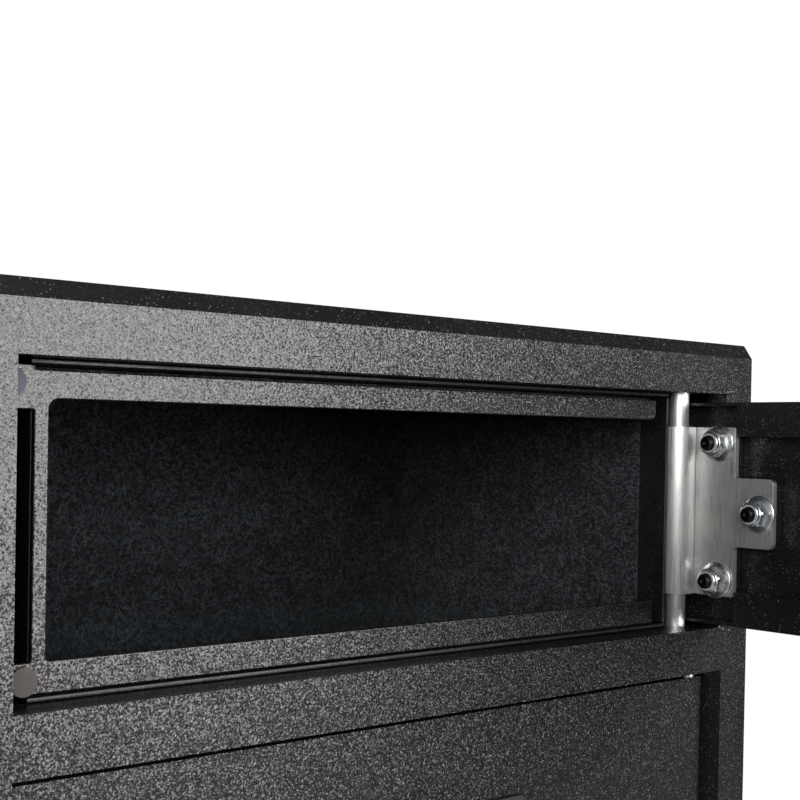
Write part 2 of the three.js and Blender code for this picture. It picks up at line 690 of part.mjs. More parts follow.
function keyOutline([x, z], grow) {
  const w = KEY_WIDTH / 2 + grow;
  const h = KEY_HEIGHT / 2 + grow;
  return rectangle(x - w, z - h, x + w, z + h, KEY_CORNER);
}

function addLock(group) {
  const back = inFrom(DOOR_RECESS) - GAP;
  const face = inFrom(DOOR_RECESS - HOUSING_STAND_OFF);
  const w = HOUSING_WALL;
  const inner = face + w;
  const outline = rectangle(-HOUSING_HALF, HOUSING_BOTTOM, HOUSING_HALF, HOUSING_TOP,
    HOUSING_CORNER);
  const hollow = rectangle(-HOUSING_HALF + w, HOUSING_BOTTOM + w, HOUSING_HALF - w,
    HOUSING_TOP - w, HOUSING_CORNER - w + GAP);
  const flange = rectangle(-LOCK_FLANGE.half, LOCK_FLANGE.bottom, LOCK_FLANGE.half,
    LOCK_FLANGE.top, LOCK_FLANGE.corner);
  add(group, 'lock_housing', blackPlastic, cut(
    join(extruded(outline, 'XZ', face, back),
      extruded(flange, 'XZ', back - LOCK_FLANGE.thickness, back)),
    extruded(hollow, 'XZ', inner, back + 1),
    rod('Y', [0, DIAL_Z], face - 1, inner + 1, SPINDLE_RADIUS + GAP),
    ...keyCentres().map((at) => extruded(keyOutline(at, GAP), 'XZ', face - 1, inner + 1)),
  ));
  keyCentres().forEach((at, i) => {
    const outer = face - KEY_PROUD;
    add(group, `key_${i + 1}`, keyPlastic,
      extruded(keyOutline(at, 0), 'XZ', outer, outer + KEY_LENGTH));
  });
}

function addDial(group) {
  const back = inFrom(DOOR_RECESS - HOUSING_STAND_OFF) - GAP;
  const at = [0, DIAL_Z];
  const gripBack = back - DIAL_BASE + 0.5;
  const spindleFront = back - 9;
  add(group, 'lock_dial', chrome, cut(
    join(
      rod('Y', at, back - DIAL_BASE, back, DIAL_RADIUS, 32),
      extruded(rectangle(-GRIP_HALF_WIDTH, DIAL_Z - GRIP_HALF_LENGTH, GRIP_HALF_WIDTH,
        DIAL_Z + GRIP_HALF_LENGTH, 4), 'XZ', back - DIAL_BASE - DIAL_GRIP, gripBack),
    ),
    rod('Y', at, spindleFront - GAP, back + 1, SPINDLE_RADIUS / 2 + GAP),
  ));
  const crankBack = inFrom(CRANK_FRONT + CRANK_SHEET);
  const crankPin = [CRANK_OFFSET, DIAL_Z + CRANK_OFFSET];
  add(group, 'dial_spindle', steel, join(
    rod('Y', at, spindleFront, back + GAP + 2, SPINDLE_RADIUS / 2),
    rod('Y', at, back + GAP, inFrom(CRANK_FRONT) + 1, SPINDLE_RADIUS),
    rod('Y', at, inFrom(CRANK_FRONT), crankBack, CRANK_RADIUS),
    rod('Y', crankPin, crankBack - 1, inFrom(CARRIAGE_FRONT + CARRIAGE_SHEET) + 1,
      CRANK_PIN_RADIUS, 16),
  ));
}

// ---- Boltwork: three bolts on one carriage, driven by the crank pin in its slot ----

function boltCarriage() {
  const left = BOLT_END + GAP;
  const armBottom = DIAL_Z - ARM_BELOW;
  const armTop = DIAL_Z + ARM_ABOVE;
  const armRight = CRANK_OFFSET + ARM_PAST_PIN;
  const outline = polygon([
    [left, CARRIAGE_BOTTOM],
    [CARRIAGE_RIGHT, CARRIAGE_BOTTOM],
    [CARRIAGE_RIGHT, armBottom],
    [armRight, armBottom],
    [armRight, armTop],
    [CARRIAGE_RIGHT, armTop],
    [CARRIAGE_RIGHT, CARRIAGE_TOP],
    [left, CARRIAGE_TOP],
  ]);
  const slack = CRANK_PIN_RADIUS + CRANK_SLACK;
  const pinZ = DIAL_Z + CRANK_OFFSET;
  const rise = CRANK_OFFSET * (Math.SQRT2 - 1); // how far the pin rises at mid-stroke
  const slot = rectangle(CRANK_OFFSET - slack, pinZ - slack,
    CRANK_OFFSET + slack, pinZ + rise + slack, 0.5);
  const front = inFrom(CARRIAGE_FRONT);
  const back = front + CARRIAGE_SHEET;
  return cut(extruded(outline, 'XZ', front, back), extruded(slot, 'XZ', front - 1, back + 1));
}

function addBolts(group) {
  add(group, 'bolt_carriage', steel, boltCarriage());
  BOLT_HEIGHTS.forEach((z, i) => add(group, `locking_bolt_${i + 1}`, chrome,
    rod('X', [inFrom(BOLT_Y), z], BOLT_TIP, BOLT_END, BOLT_RADIUS)));
}

// ---- Assembly ----

const parcelDropBox = new THREE.Group();
addCabinetPanels(parcelDropBox);
addChute(parcelDropBox);
addBumpers(parcelDropBox);
add(parcelDropBox, 'drop_door_hinge_pin', zinc, rod('Z', [fromLeft(PIN_X), inFrom(PIN_Y)],
  UPPER_BOTTOM - FRAME_SHEET - 1, UPPER_TOP + FRAME_SHEET + 1, PIN_RADIUS));

const dropDoor = new THREE.Group();
dropDoor.position.set(fromLeft(PIN_X), inFrom(PIN_Y), UPPER_MID);
dropDoor.rotation.z = Math.PI / 2;
addDropDoor(dropDoor);
parcelDropBox.add(dropDoor);

addMainDoor(parcelDropBox);
addLock(parcelDropBox);
addDial(parcelDropBox);
addBolts(parcelDropBox);

export default parcelDropBox;
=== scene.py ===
"""Parcel drop box: the visual model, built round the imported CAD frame.

Lengths are in millimetres while a mesh is being made and in metres in the scene.
The origin is the middle of the base, +Z is up and the front faces -Y.
"""

import math
import random

import bmesh
import bpy
from mathutils import Matrix, Vector, noise


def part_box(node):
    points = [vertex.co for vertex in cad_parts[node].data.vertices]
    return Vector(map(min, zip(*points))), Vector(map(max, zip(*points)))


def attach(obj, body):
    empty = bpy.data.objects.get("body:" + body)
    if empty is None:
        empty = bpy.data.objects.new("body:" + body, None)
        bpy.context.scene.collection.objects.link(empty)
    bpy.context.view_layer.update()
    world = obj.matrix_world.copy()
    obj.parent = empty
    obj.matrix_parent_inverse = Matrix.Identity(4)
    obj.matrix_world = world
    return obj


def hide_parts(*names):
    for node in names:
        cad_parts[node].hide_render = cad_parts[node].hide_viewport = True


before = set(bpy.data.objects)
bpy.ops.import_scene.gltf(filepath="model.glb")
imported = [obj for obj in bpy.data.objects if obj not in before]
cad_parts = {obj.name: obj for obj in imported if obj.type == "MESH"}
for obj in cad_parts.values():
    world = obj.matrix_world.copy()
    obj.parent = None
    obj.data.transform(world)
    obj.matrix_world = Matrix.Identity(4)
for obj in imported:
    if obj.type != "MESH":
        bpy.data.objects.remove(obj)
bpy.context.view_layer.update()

MM = 0.001
FRONT = -175.0
BACK = 175.0
SIDE = 175.0
HEIGHT = 500.0
LEFT = -157.5  # left edge of both openings
UPPER_MID = 430.4  # mid-height of the upper opening
UPPER_HALF = 48.5
PIN = (143.5, -161.7)  # the drop door's hinge pin, seen from above
SHEET = 2.0  # steel thickness of the wrap
FACE_STEP = 8.0  # depth of the front frame's folded edge
ANCHOR_HOLES = (-100, 100)  # Y of the two holes in the base
ANCHOR_RADIUS = 7
DIAL_HEIGHT = 236
CAM_LOCK_REACH = 275  # from the hinge pin along the drop door
KNOB_REACH = 235
NEAR = 0.01  # two coordinates this close are the same
GLOW_SEEN = 1.02  # what the camera sees of the white surround
GLOW_CAST = 0.012  # what the object gets from it

OPEN_DOOR = Matrix.Translation((*PIN, UPPER_MID)) @ Matrix.Rotation(math.pi / 2, 4, "Z")
# Rotations that send a flat piece's u, v, w to the axes named
UP = Matrix.Identity(4)  # u = X, v = Y, w = Z
BACKWARD = Matrix(((1, 0, 0, 0), (0, 0, 1, 0), (0, 1, 0, 0), (0, 0, 0, 1)))  # u = X, v = Z, w = Y


# ---- Materials ----

class Shader:
    """A Principled material and a short way to add nodes to it."""

    def __init__(self, name, **constants):
        self.material = bpy.data.materials.new(name)
        self.material.use_nodes = True
        self.tree = self.material.node_tree
        self.bsdf = self.tree.nodes["Principled BSDF"]
        for key, value in constants.items():
            self.bsdf.inputs[key.replace("_", " ")].default_value = value
        self.place = self.tree.nodes.new("ShaderNodeTexCoord").outputs["Object"]

    def wire(self, socket, value):
        if isinstance(value, bpy.types.NodeSocket):
            self.tree.links.new(value, socket)
        else:
            socket.default_value = value

    def add(self, kind, inputs, output=0, **settings):
        made = self.tree.nodes.new("ShaderNode" + kind)
        for key, value in settings.items():
            setattr(made, key, value)
        for key, value in inputs.items():
            self.wire(made.inputs[key], value)
        return made.outputs[output]

    def math(self, operation, *values):
        return self.add("Math", dict(enumerate(values)), operation=operation)

    def noise(self, scale, detail=2.0, roughness=0.5, distortion=0.0, at=None):
        return self.add("TexNoise", {"Vector": at or self.place, "Scale": scale, "Detail": detail,
                                     "Roughness": roughness, "Distortion": distortion})

    def cells(self, scale):
        return self.add("TexVoronoi", {"Vector": self.place, "Scale": scale},
                        output="Distance", feature="F1")

    def stretched(self, scale, turn=(0, 0, 0)):
        return self.add("Mapping", {"Vector": self.place, "Scale": scale, "Rotation": turn})

    def ramp(self, value, low, high, start=0.0, end=1.0):
        """value, carried from low..high to start..end and held there."""
        return self.add("MapRange", {"Value": value, "From Min": low, "From Max": high,
                                     "To Min": start, "To Max": end})

    def blend(self, factor, one, other):
        return self.add("Mix", {0: factor, 6: (*one, 1) if isinstance(one, tuple) else one,
                                7: (*other, 1) if isinstance(other, tuple) else other},
                        output=2, data_type="RGBA")

    def bump(self, height, distance, strength=1.0):
        made = self.add("Bump", {"Height": height, "Distance": distance, "Strength": strength})
        self.wire(self.bsdf.inputs["Normal"], made)

    def facets(self, scale, spread, detail=1.0):
        """A normal tilted at random over patches about 1 / scale metres across."""
        colour = self.add("TexNoise", {"Vector": self.place, "Scale": scale,
                                       "Detail": detail}, output="Color")
        tilt = self.add("VectorMath", {0: colour, 1: (0.5, 0.5, 0.5)}, operation="SUBTRACT")
        scaled = self.add("VectorMath", {0: tilt, "Scale": spread}, operation="SCALE")
        normal = self.tree.nodes.new("ShaderNodeNewGeometry").outputs["Normal"]
        tilted = self.add("VectorMath", {0: normal, 1: scaled}, operation="ADD")
        return self.add("VectorMath", {0: tilted}, operation="NORMALIZE")

    def colour(self, value):
        self.wire(self.bsdf.inputs["Base Color"], value)

    def rough(self, value):
        self.wire(self.bsdf.inputs["Roughness"], value)


def wrinkle_coat():
    """Black powder coat: a grain of randomly tilted patches, and pale specks painted as glints
    where wrinkle facets catch the light.
    """
    s = Shader("wrinkle_powder_coat", Metallic=0.0)
    s.wire(s.bsdf.inputs["Normal"], s.facets(1650, 0.76, detail=1.8))
    worn = s.noise(14, detail=4)
    tone = s.blend(s.ramp(worn, 0.35, 0.65), (0.006, 0.0058, 0.0058), (0.011, 0.0106, 0.0104))
    # pale specks: painted glints of light on the wrinkle facets
    glint_speck = s.math("MULTIPLY", s.ramp(s.cells(820), 0.27, 0.13),
                   s.ramp(s.noise(260, detail=1), 0.42, 0.62))
    s.colour(s.blend(s.math("MULTIPLY", glint_speck, 0.8), tone, (0.17, 0.165, 0.16)))
    s.rough(s.ramp(s.noise(1300, detail=2), 0.3, 0.7, 0.23, 0.38))
    return s.material


def smooth_coat():
    """The thinner, smoother black paint inside the chute and the compartment."""
    s = Shader("smooth_powder_coat", Metallic=0.0)
    s.wire(s.bsdf.inputs["Normal"], s.facets(900, 0.3))
    # pale specks: painted glints of light on the paint's grain
    glint_speck = s.math("MULTIPLY", s.ramp(s.cells(820), 0.25, 0.13), 0.35)
    tone = s.blend(s.ramp(s.noise(30, detail=4), 0.3, 0.7),
                   (0.005, 0.005, 0.005), (0.010, 0.010, 0.010))
    s.colour(s.blend(glint_speck, tone, (0.12, 0.12, 0.115)))
    s.rough(s.ramp(s.noise(90, detail=3), 0.3, 0.7, 0.36, 0.5))
    return s.material


def needled_carpet():
    """Charcoal needled carpet: short crossing fibres in cool and warm greys, and a faint
    cool reflection painted as a band along its foot."""
    s = Shader("needled_carpet", Metallic=0.0, Roughness=0.92)
    s.bsdf.inputs["Sheen Weight"].default_value = 0.12
    s.bsdf.inputs["Sheen Roughness"].default_value = 0.6
    s.bsdf.inputs["Specular IOR Level"].default_value = 0.2
    turns = [(0.3, 0.2, 0.1), (0.9, 0.8, 1.0), (1.7, 0.3, 2.0), (0.5, 1.6, 2.7), (2.3, 1.1, 0.6)]
    strands = None
    for i, turn in enumerate(turns):
        at = s.stretched((1.0, 0.30, 1.0), turn)
        ridge = s.math("ABSOLUTE", s.math("SUBTRACT", s.noise(780 + 90 * i, 1.0, at=at), 0.5))
        line = s.ramp(ridge, 0.05, 0.004)
        held = s.math("MULTIPLY", line, s.ramp(s.noise(420 + 60 * i, 1), 0.50, 0.64))
        strands = held if strands is None else s.math("MAXIMUM", strands, held)
    warm = s.ramp(s.noise(300, detail=2), 0.52, 0.64)
    fibre = s.blend(warm, (0.105, 0.129, 0.16), (0.143, 0.116, 0.10))
    tuft = s.ramp(s.noise(95, detail=4, roughness=0.7), 0.34, 0.64)
    ground = s.blend(tuft, (0.001, 0.0015, 0.0025), (0.0055, 0.0065, 0.009))
    grain = s.ramp(s.noise(1500, detail=1), 0.35, 0.65, 0.15, 1.0)
    lit = s.blend(grain, (0.001, 0.001, 0.0015), ground)
    haired = s.blend(s.math("MULTIPLY", strands, s.ramp(tuft, 0.0, 1.0, 0.35, 1.0)), lit, fibre)
    height = s.add("SeparateXYZ", {"Vector": s.place}, output="Z")
    # a faint cool reflection painted into the colour as a band by height, along the carpet's foot
    foot_reflection = s.math("MULTIPLY", s.ramp(height, 0.362, 0.369), s.ramp(height, 0.381, 0.374))
    s.colour(s.add("VectorMath", {0: haired, 1: s.blend(foot_reflection, (0, 0, 0), (0.006, 0.0105, 0.0115))},
                   operation="ADD"))
    s.bump(s.math("ADD", strands, s.noise(700, detail=2)), 0.0004, 0.6)
    return s.material


def metal(name, low, high, rough, grain, tint_scale=60, lines=(1, 1, 1), depth=0.00004,
          brushed=0.0):
    """A bare metal with grain along the axis that lines compresses; brushed spreads its
    highlights sideways, as upright brush marks do."""
    s = Shader(name, Metallic=0.9 if brushed else 1.0)
    if brushed:
        normal = s.tree.nodes.new("ShaderNodeNewGeometry").outputs["Normal"]
        level = s.add("VectorMath", {0: normal, 1: (0.0, 0.0, 1.0)}, operation="CROSS_PRODUCT")
        s.wire(s.bsdf.inputs["Tangent"], level)
        s.bsdf.inputs["Anisotropic"].default_value = brushed
    at = s.stretched(lines)
    streak = s.noise(grain, detail=3, roughness=0.6, at=at)
    s.colour(s.blend(s.ramp(s.noise(tint_scale, detail=3), 0.35, 0.65), low, high))
    s.rough(s.ramp(streak, 0.3, 0.7, rough - 0.06, rough + 0.08))
    s.bump(streak, depth, 0.5)
    return s.material


def plastic(name, low, high, rough, grain, depth):
    s = Shader(name, Metallic=0.0)
    s.colour(s.blend(s.ramp(s.noise(40, detail=3), 0.3, 0.7), low, high))
    s.rough(s.ramp(s.noise(grain / 2, detail=2), 0.3, 0.7, rough - 0.05, rough + 0.06))
    s.bump(s.cells(grain), depth, 0.4)
    return s.material


COAT = wrinkle_coat()
SMOOTH = smooth_coat()
CARPET = needled_carpet()
ZINC = metal("brushed_zinc", (0.62, 0.635, 0.655), (0.72, 0.715, 0.69), 0.31, 2200,
             lines=(1, 1, 0.035), depth=0.000004, brushed=0.85)
NUT_ZINC = metal("zinc_plate", (0.66, 0.69, 0.73), (0.76, 0.77, 0.77), 0.3, 900,
                 depth=0.000002)
STEEL = metal("mill_steel", (0.36, 0.37, 0.38), (0.46, 0.46, 0.455), 0.38, 1500, lines=(0.1, 1, 1))
CHROME = metal("chrome", (0.74, 0.75, 0.76), (0.80, 0.80, 0.80), 0.13, 300, depth=0.00001)
# Two lit copies of one rubber: the lower pad's warm grey and the upper pad's lighter, bluer grey
# are painted light.
RUBBER = plastic("grey_rubber", (0.062, 0.052, 0.050), (0.078, 0.066, 0.063), 0.72, 1400, 0.00006)
RUBBER_PAINTED_COOL_LIGHT = plastic("rubber_painted_cool_light", (0.085, 0.094, 0.12), (0.10, 0.112, 0.14), 0.72,
                      1400, 0.00006)
BLACK_PLASTIC = plastic("black_plastic", (0.012, 0.012, 0.012), (0.018, 0.018, 0.019),
                        0.42, 1800, 0.00006)
KEY_PLASTIC = plastic("key_plastic", (0.045, 0.046, 0.048), (0.058, 0.058, 0.06),
                      0.5, 2200, 0.00004)
INK = plastic("legend_ink", (0.60, 0.60, 0.58), (0.68, 0.68, 0.66), 0.55, 2500, 0.00001)
NYLON = plastic("nylon_collar", (0.42, 0.43, 0.44), (0.52, 0.52, 0.52), 0.4, 900, 0.00002)
OXIDE = metal("black_oxide", (0.018, 0.018, 0.019), (0.03, 0.029, 0.028), 0.4, 1200,
              depth=0.00001)
RED_LENS = plastic("red_lens", (0.22, 0.012, 0.010), (0.28, 0.016, 0.012), 0.2, 600, 0.00001)
GREEN_LENS = plastic("green_lens", (0.012, 0.16, 0.03), (0.016, 0.20, 0.04), 0.2, 600, 0.00001)


# ---- Mesh helpers, in millimetres ----

def piece(name, parts, material, body, replaced=(), sharp=32):
    """One object made of the given meshes, riding on a body."""
    whole = bmesh.new()
    for part in parts if isinstance(parts, list) else [parts]:
        spare = bpy.data.meshes.new("spare")
        part.to_mesh(spare)
        part.free()
        whole.from_mesh(spare)
        bpy.data.meshes.remove(spare)
    bmesh.ops.scale(whole, vec=(MM,) * 3, verts=whole.verts)
    bmesh.ops.recalc_face_normals(whole, faces=whole.faces)
    mesh = bpy.data.meshes.new(name)
    whole.to_mesh(mesh)
    whole.free()
    mesh.shade_smooth()
    mesh.set_sharp_from_angle(angle=math.radians(sharp))
    mesh.materials.append(material)
    made = bpy.data.objects.new(name, mesh)
    bpy.context.scene.collection.objects.link(made)
    even = made.modifiers.new("even_normals", "WEIGHTED_NORMAL")
    even.keep_sharp = True
    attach(made, body)
    if replaced:
        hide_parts(*replaced)
    return made


def turn(bm, matrix):
    bmesh.ops.transform(bm, matrix=matrix, verts=bm.verts)
    return bm


def soften(bm, width, segments=3, angle=35, pick=None):
    """Rounds the sharp edges that pick accepts."""
    edges = [e for e in bm.edges
             if e.is_manifold and e.calc_face_angle(0) > math.radians(angle)
             and (pick is None or pick(e))]
    bmesh.ops.bevel(bm, geom=edges, offset=width, offset_type="OFFSET", segments=segments,
                    profile=0.5, affect="EDGES", clamp_overlap=True)
    return bm


def cad_copy(node, width=0.0, segments=2, pick=None):
    """A CAD node's mesh, cleaned, with its edges rounded."""
    bm = bmesh.new()
    bm.from_mesh(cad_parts[node].data)
    bmesh.ops.scale(bm, vec=(1 / MM,) * 3, verts=bm.verts)
    bmesh.ops.remove_doubles(bm, verts=bm.verts, dist=0.002)
    bmesh.ops.dissolve_limit(bm, angle_limit=math.radians(0.5), verts=bm.verts, edges=bm.edges)
    bmesh.ops.recalc_face_normals(bm, faces=bm.faces)
    return soften(bm, width, segments, pick=pick) if width else bm


def outline(corners, steps=6):
    """Points of a closed outline. A corner is (u, v) or (u, v, radius)."""
    points = []
    for i, corner in enumerate(corners):
        here = Vector(corner[:2])
        radius = corner[2] if len(corner) > 2 else 0
        if not radius:
            points.append(here)
            continue
        before = (Vector(corners[i - 1][:2]) - here).normalized()
        after = (Vector(corners[(i + 1) % len(corners)][:2]) - here).normalized()
        half = before.angle(after) / 2
        centre = here + (before + after).normalized() * radius / math.sin(half)
        start = here + before * radius / math.tan(half) - centre
        end = here + after * radius / math.tan(half) - centre
        first = math.atan2(start.y, start.x)
        sweep = (math.atan2(end.y, end.x) - first + math.pi) % (2 * math.pi) - math.pi
        points += [centre + radius * Vector((math.cos(first + sweep * k / steps),
                                             math.sin(first + sweep * k / steps)))
                   for k in range(steps + 1)]
    return points


def rectangle(u0, v0, u1, v1, r=0.0, steps=6):
    return outline([(u0, v0, r), (u1, v0, r), (u1, v1, r), (u0, v1, r)], steps)


def circle(u, v, r, sides=32):
    return [Vector((u + r * math.cos(2 * math.pi * k / sides),
                    v + r * math.sin(2 * math.pi * k / sides))) for k in range(sides)]


def plate(points, w0, w1, matrix=UP, holes=(), edge=0.0, segments=3, pick=None):
    """A flat piece between w0 and w1 with rounded edges."""
    bm = bmesh.new()
    edges = []
    for ring in [points, *holes]:
        verts = [bm.verts.new((p.x, p.y, w0)) for p in ring]
        edges += [bm.edges.new((verts[i - 1], verts[i])) for i in range(len(verts))]
    bmesh.ops.triangle_fill(bm, use_beauty=True, use_dissolve=False, edges=edges)
    made = bmesh.ops.extrude_face_region(bm, geom=bm.faces[:])
    lifted = [g for g in made["geom"] if isinstance(g, bmesh.types.BMVert)]
    bmesh.ops.translate(bm, vec=(0, 0, w1 - w0), verts=lifted)
    bmesh.ops.recalc_face_normals(bm, faces=bm.faces)
    bmesh.ops.dissolve_limit(bm, angle_limit=math.radians(0.5), verts=[], edges=bm.edges)
    if edge:
        soften(bm, edge, segments, 50, pick)
    return turn(bm, matrix)


def lathe(rows, matrix=UP, sides=48, shape=None, closed=False):
    """A turned piece about w. A row is (radius, height, *more); shape may change its radius."""
    bm = bmesh.new()
    rings = []
    for radius, height, *more in rows:
        if radius == 0:
            rings.append([bm.verts.new((0, 0, height))])
            continue
        ring = []
        for k in range(sides):
            angle = 2 * math.pi * k / sides
            r = shape(angle, radius, height, *more) if shape else radius
            ring.append(bm.verts.new((r * math.cos(angle), r * math.sin(angle), height)))
        rings.append(ring)
    if closed:
        rings.append(rings[0])
    for one, two in zip(rings, rings[1:]):
        for k in range(sides):
            a, b = (ring[k % len(ring)] for ring in (one, two))
            c, d = (ring[(k + 1) % sides % len(ring)] for ring in (two, one))
            corners = list(dict.fromkeys((a, b, c, d)))
            if len(corners) > 2:
                bm.faces.new(corners)
    if not closed:
        for ring in (rings[0], rings[-1]):
            if len(ring) > 2:
                bm.faces.new(ring)
    bmesh.ops.recalc_face_normals(bm, faces=bm.faces)
    return turn(bm, matrix)


def hexed(across):
    """Keeps rows marked 1 inside a hexagon."""
    def shape(angle, radius, _height, hexagon=0):
        if not hexagon:
            return radius
        flat = (angle + math.pi / 6) % (math.pi / 3) - math.pi / 6
        return min(radius, across / 2 / math.cos(flat))
    return shape


def threaded(pitch, depth, top):
    """A screw thread below top."""
    def shape(angle, radius, height, cut=1):
        phase = (height / pitch - angle / (2 * math.pi)) % 1
        return radius - depth * cut * abs(2 * phase - 1) if height <= top else radius
    return shape


def place(x, y, z, axis="Y", sign=1):
    """Stands a turned piece's w along the axis named."""
    turns = {"X": ("Y", 90), "Y": ("X", -90), "Z": ("X", 0)}
    name, angle = turns[axis]
    flip = Matrix.Rotation(math.pi, 4, "X") if sign < 0 else Matrix.Identity(4)
    return Matrix.Translation((x, y, z)) @ Matrix.Rotation(math.radians(angle), 4, name) @ flip


def mm_box(node):
    low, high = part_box(node)
    return low / MM, high / MM


# ---- Cabinet ----

def build_front_frame():
    """The folded front: rounded bends round the openings and outside, and a chamfered top."""
    def on_face(edge):
        return all(abs(v.co.y - FRONT) < NEAR for v in edge.verts)

    def bend(edge):
        a, b = (v.co for v in edge.verts)
        ahead = max(a.y, b.y) < FRONT + FACE_STEP + 0.1
        outside = ((abs(abs(a.x) - SIDE) < NEAR and abs(a.x - b.x) < NEAR)
                   or max(a.z, b.z) < NEAR or min(a.z, b.z) > HEIGHT - 6)
        back_rim = min(a.y, b.y) > FRONT + FACE_STEP - 0.1
        return (on_face(edge) or (ahead and outside)) and not back_rim

    bm = cad_copy("front_frame")
    soften(bm, 2.8, 6, 20, bend)
    soften(bm, 0.25, 1, 50)
    return piece("front_frame_folded", bm, COAT, "cabinet", ("front_frame",))


def build_wrap():
    """Sides, top and base as one folded wrap with rounded corners and two anchor holes."""
    y0 = FRONT + 8.3
    y1 = BACK - 2.3
    outer = rectangle(-SIDE, 0, SIDE, HEIGHT, 1.5)
    inner = rectangle(-SIDE + SHEET, SHEET, SIDE - SHEET, HEIGHT - SHEET, 0.8)
    wrap = plate(outer, y0, y1, BACKWARD, holes=[inner])
    made = piece("cabinet_wrap", wrap, COAT, "cabinet",
                 ("left_side_panel", "right_side_panel", "top_panel", "base_panel"))
    for y in ANCHOR_HOLES:
        drill_mesh = bpy.data.meshes.new("drill")
        bit = lathe([(ANCHOR_RADIUS, -3), (ANCHOR_RADIUS, 5)],
                    Matrix.Translation((0, y, 0)), 40)
        bmesh.ops.scale(bit, vec=(MM,) * 3, verts=bit.verts)
        bit.to_mesh(drill_mesh)
        bit.free()
        drill = bpy.data.objects.new("drill", drill_mesh)
        bpy.context.scene.collection.objects.link(drill)
        cut = made.modifiers.new("anchor", "BOOLEAN")
        cut.operation, cut.solver, cut.object = "DIFFERENCE", "EXACT", drill
        bpy.context.view_layer.update()
        done = bpy.data.meshes.new_from_object(
            made.evaluated_get(bpy.context.evaluated_depsgraph_get()))
        made.modifiers.clear()
        made.data = done
        bpy.data.objects.remove(drill)
    made.data.shade_smooth()
    made.data.set_sharp_from_angle(angle=math.radians(32))
    return made


def build_welds():
    """Painted-over weld beads at the right corners of the upper opening."""
    beads = random.Random(11)
    for tag, side, start in (("upper", 1, 158.0), ("lower", -1, 156.0)):
        lumps = []
        for k in range(5):
            x = start + k * 1.5 + beads.uniform(-0.3, 0.3)
            z = UPPER_MID + side * (UPPER_HALF + 0.5 + 0.28 * k) + beads.uniform(-0.3, 0.3)
            r = beads.uniform(1.0, 1.45)
            rows = [(0, -r)] + [(r * math.sin(a), -r * math.cos(a))
                                for a in (math.pi * j / 9 for j in range(1, 9))] + [(0, r)]
            lump = lathe(rows, Matrix.Translation((x, FRONT + 0.55, z)), 14)
            for v in lump.verts:
                v.co += Vector((0, 1, 0)) * 0.25 * noise.noise(v.co * 1.1)
            lumps.append(lump)
        piece(f"weld_bead_{tag}", lumps, COAT, "cabinet", sharp=60)


def build_back():
    panel = cad_copy("back_panel", 0.5, 2)
    welds = []
    for z in range(25, 500, 50):
        for x in (-167, 167):
            welds.append(lathe([(3.2, -1.0), (3.2, -0.05), (2.6, 0), (0, 0)],
                               place(x, BACK - 0.02, z, "Y"), 20))
    return piece("back_panel_welded", [panel, *welds], COAT, "cabinet",
                 ("back_panel",))


# ---- Chute ----

def build_face_plate():
    """C-shaped plate with rounded cut edges and a rounded inner corner."""
    left, right = LEFT + 0.4, LEFT + 282
    strip0, strip1 = LEFT + 10.1, LEFT + 14.5
    z = UPPER_MID
    corners = [
        (left, z - 45.5), (right, z - 45.5, 0.8), (right, z - 36.5, 0.8),
        (strip1, z - 36.5, 1.0), (strip1, z + 37, 3.0), (right, z + 37, 2.6),
        (right, z + 45, 0.6), (strip0 - 0.5, z + 45, 0.8), (strip0 - 0.5, z + 46.4, 0.4),
        (left, z + 46.4), (left, z + 33.9), (strip0, z + 33.9, 0.6), (strip0, z - 36.5, 0.6),
        (left, z - 36.5),
    ]
    plate_mesh = plate(outline(corners, 5), FRONT + 10.3, FRONT + 12.3, BACKWARD,
                       edge=0.85, segments=4)
    return piece("face_plate_formed", plate_mesh, COAT, "cabinet",
                 ("chute_face_plate",))


def build_bumpers():
    """Two pads, likely of the same rubber; their different greys are painted light: the upper
    pad's lighter, bluer grey and the lower pad's warmer grey paint how the light falls on each.
    """
    for tag, x, z, rubber in (("upper", 3.1, 41.4, RUBBER_PAINTED_COOL_LIGHT), ("lower", 7.7, -41.7, RUBBER)):
        rows = [(0, -1.6), (1.5, -1.6), (1.6, -1.5), (1.6, 0.3), (3.9, 0.3), (4.2, 0.5),
                (4.2, 0.68), (4.05, 0.8), (3.0, 0.87), (1.5, 0.9), (0, 0.91)]
        pad = lathe(rows, place(LEFT + x, FRONT + 10.4, UPPER_MID + z, "Y", -1), 48)
        for v in pad.verts:
            v.co.x = max(v.co.x, LEFT + 0.4)  # trimmed against the frame's side flange
        piece(f"bumper_pad_{tag}", pad, rubber, "cabinet", (f"{tag}_bumper",))


def carpet_panel(name, node, step=2.2, lift=0.45):
    """A carpet lining whose surface rises and falls like needled felt."""
    low, high = mm_box(node)
    size = high - low
    bm = bmesh.new()
    bmesh.ops.create_cube(bm, size=1.0)
    bmesh.ops.scale(bm, vec=size - Vector((lift,) * 3), verts=bm.verts)
    bmesh.ops.translate(bm, vec=(low + high) / 2, verts=bm.verts)
    for axis in range(3):
        cuts = int(size[axis] / step) - 1
        if cuts > 0:
            along = [e for e in bm.edges
                     if abs((e.verts[0].co - e.verts[1].co)[axis]) > size[axis] / 2]
            bmesh.ops.subdivide_edges(bm, edges=along, cuts=cuts, use_grid_fill=True)
    bm.normal_update()
    for v in bm.verts:
        v.co += v.normal * lift * 0.45 * noise.noise(v.co * 0.45)
    piece(name, bm, CARPET, "cabinet", (node,), sharp=70)


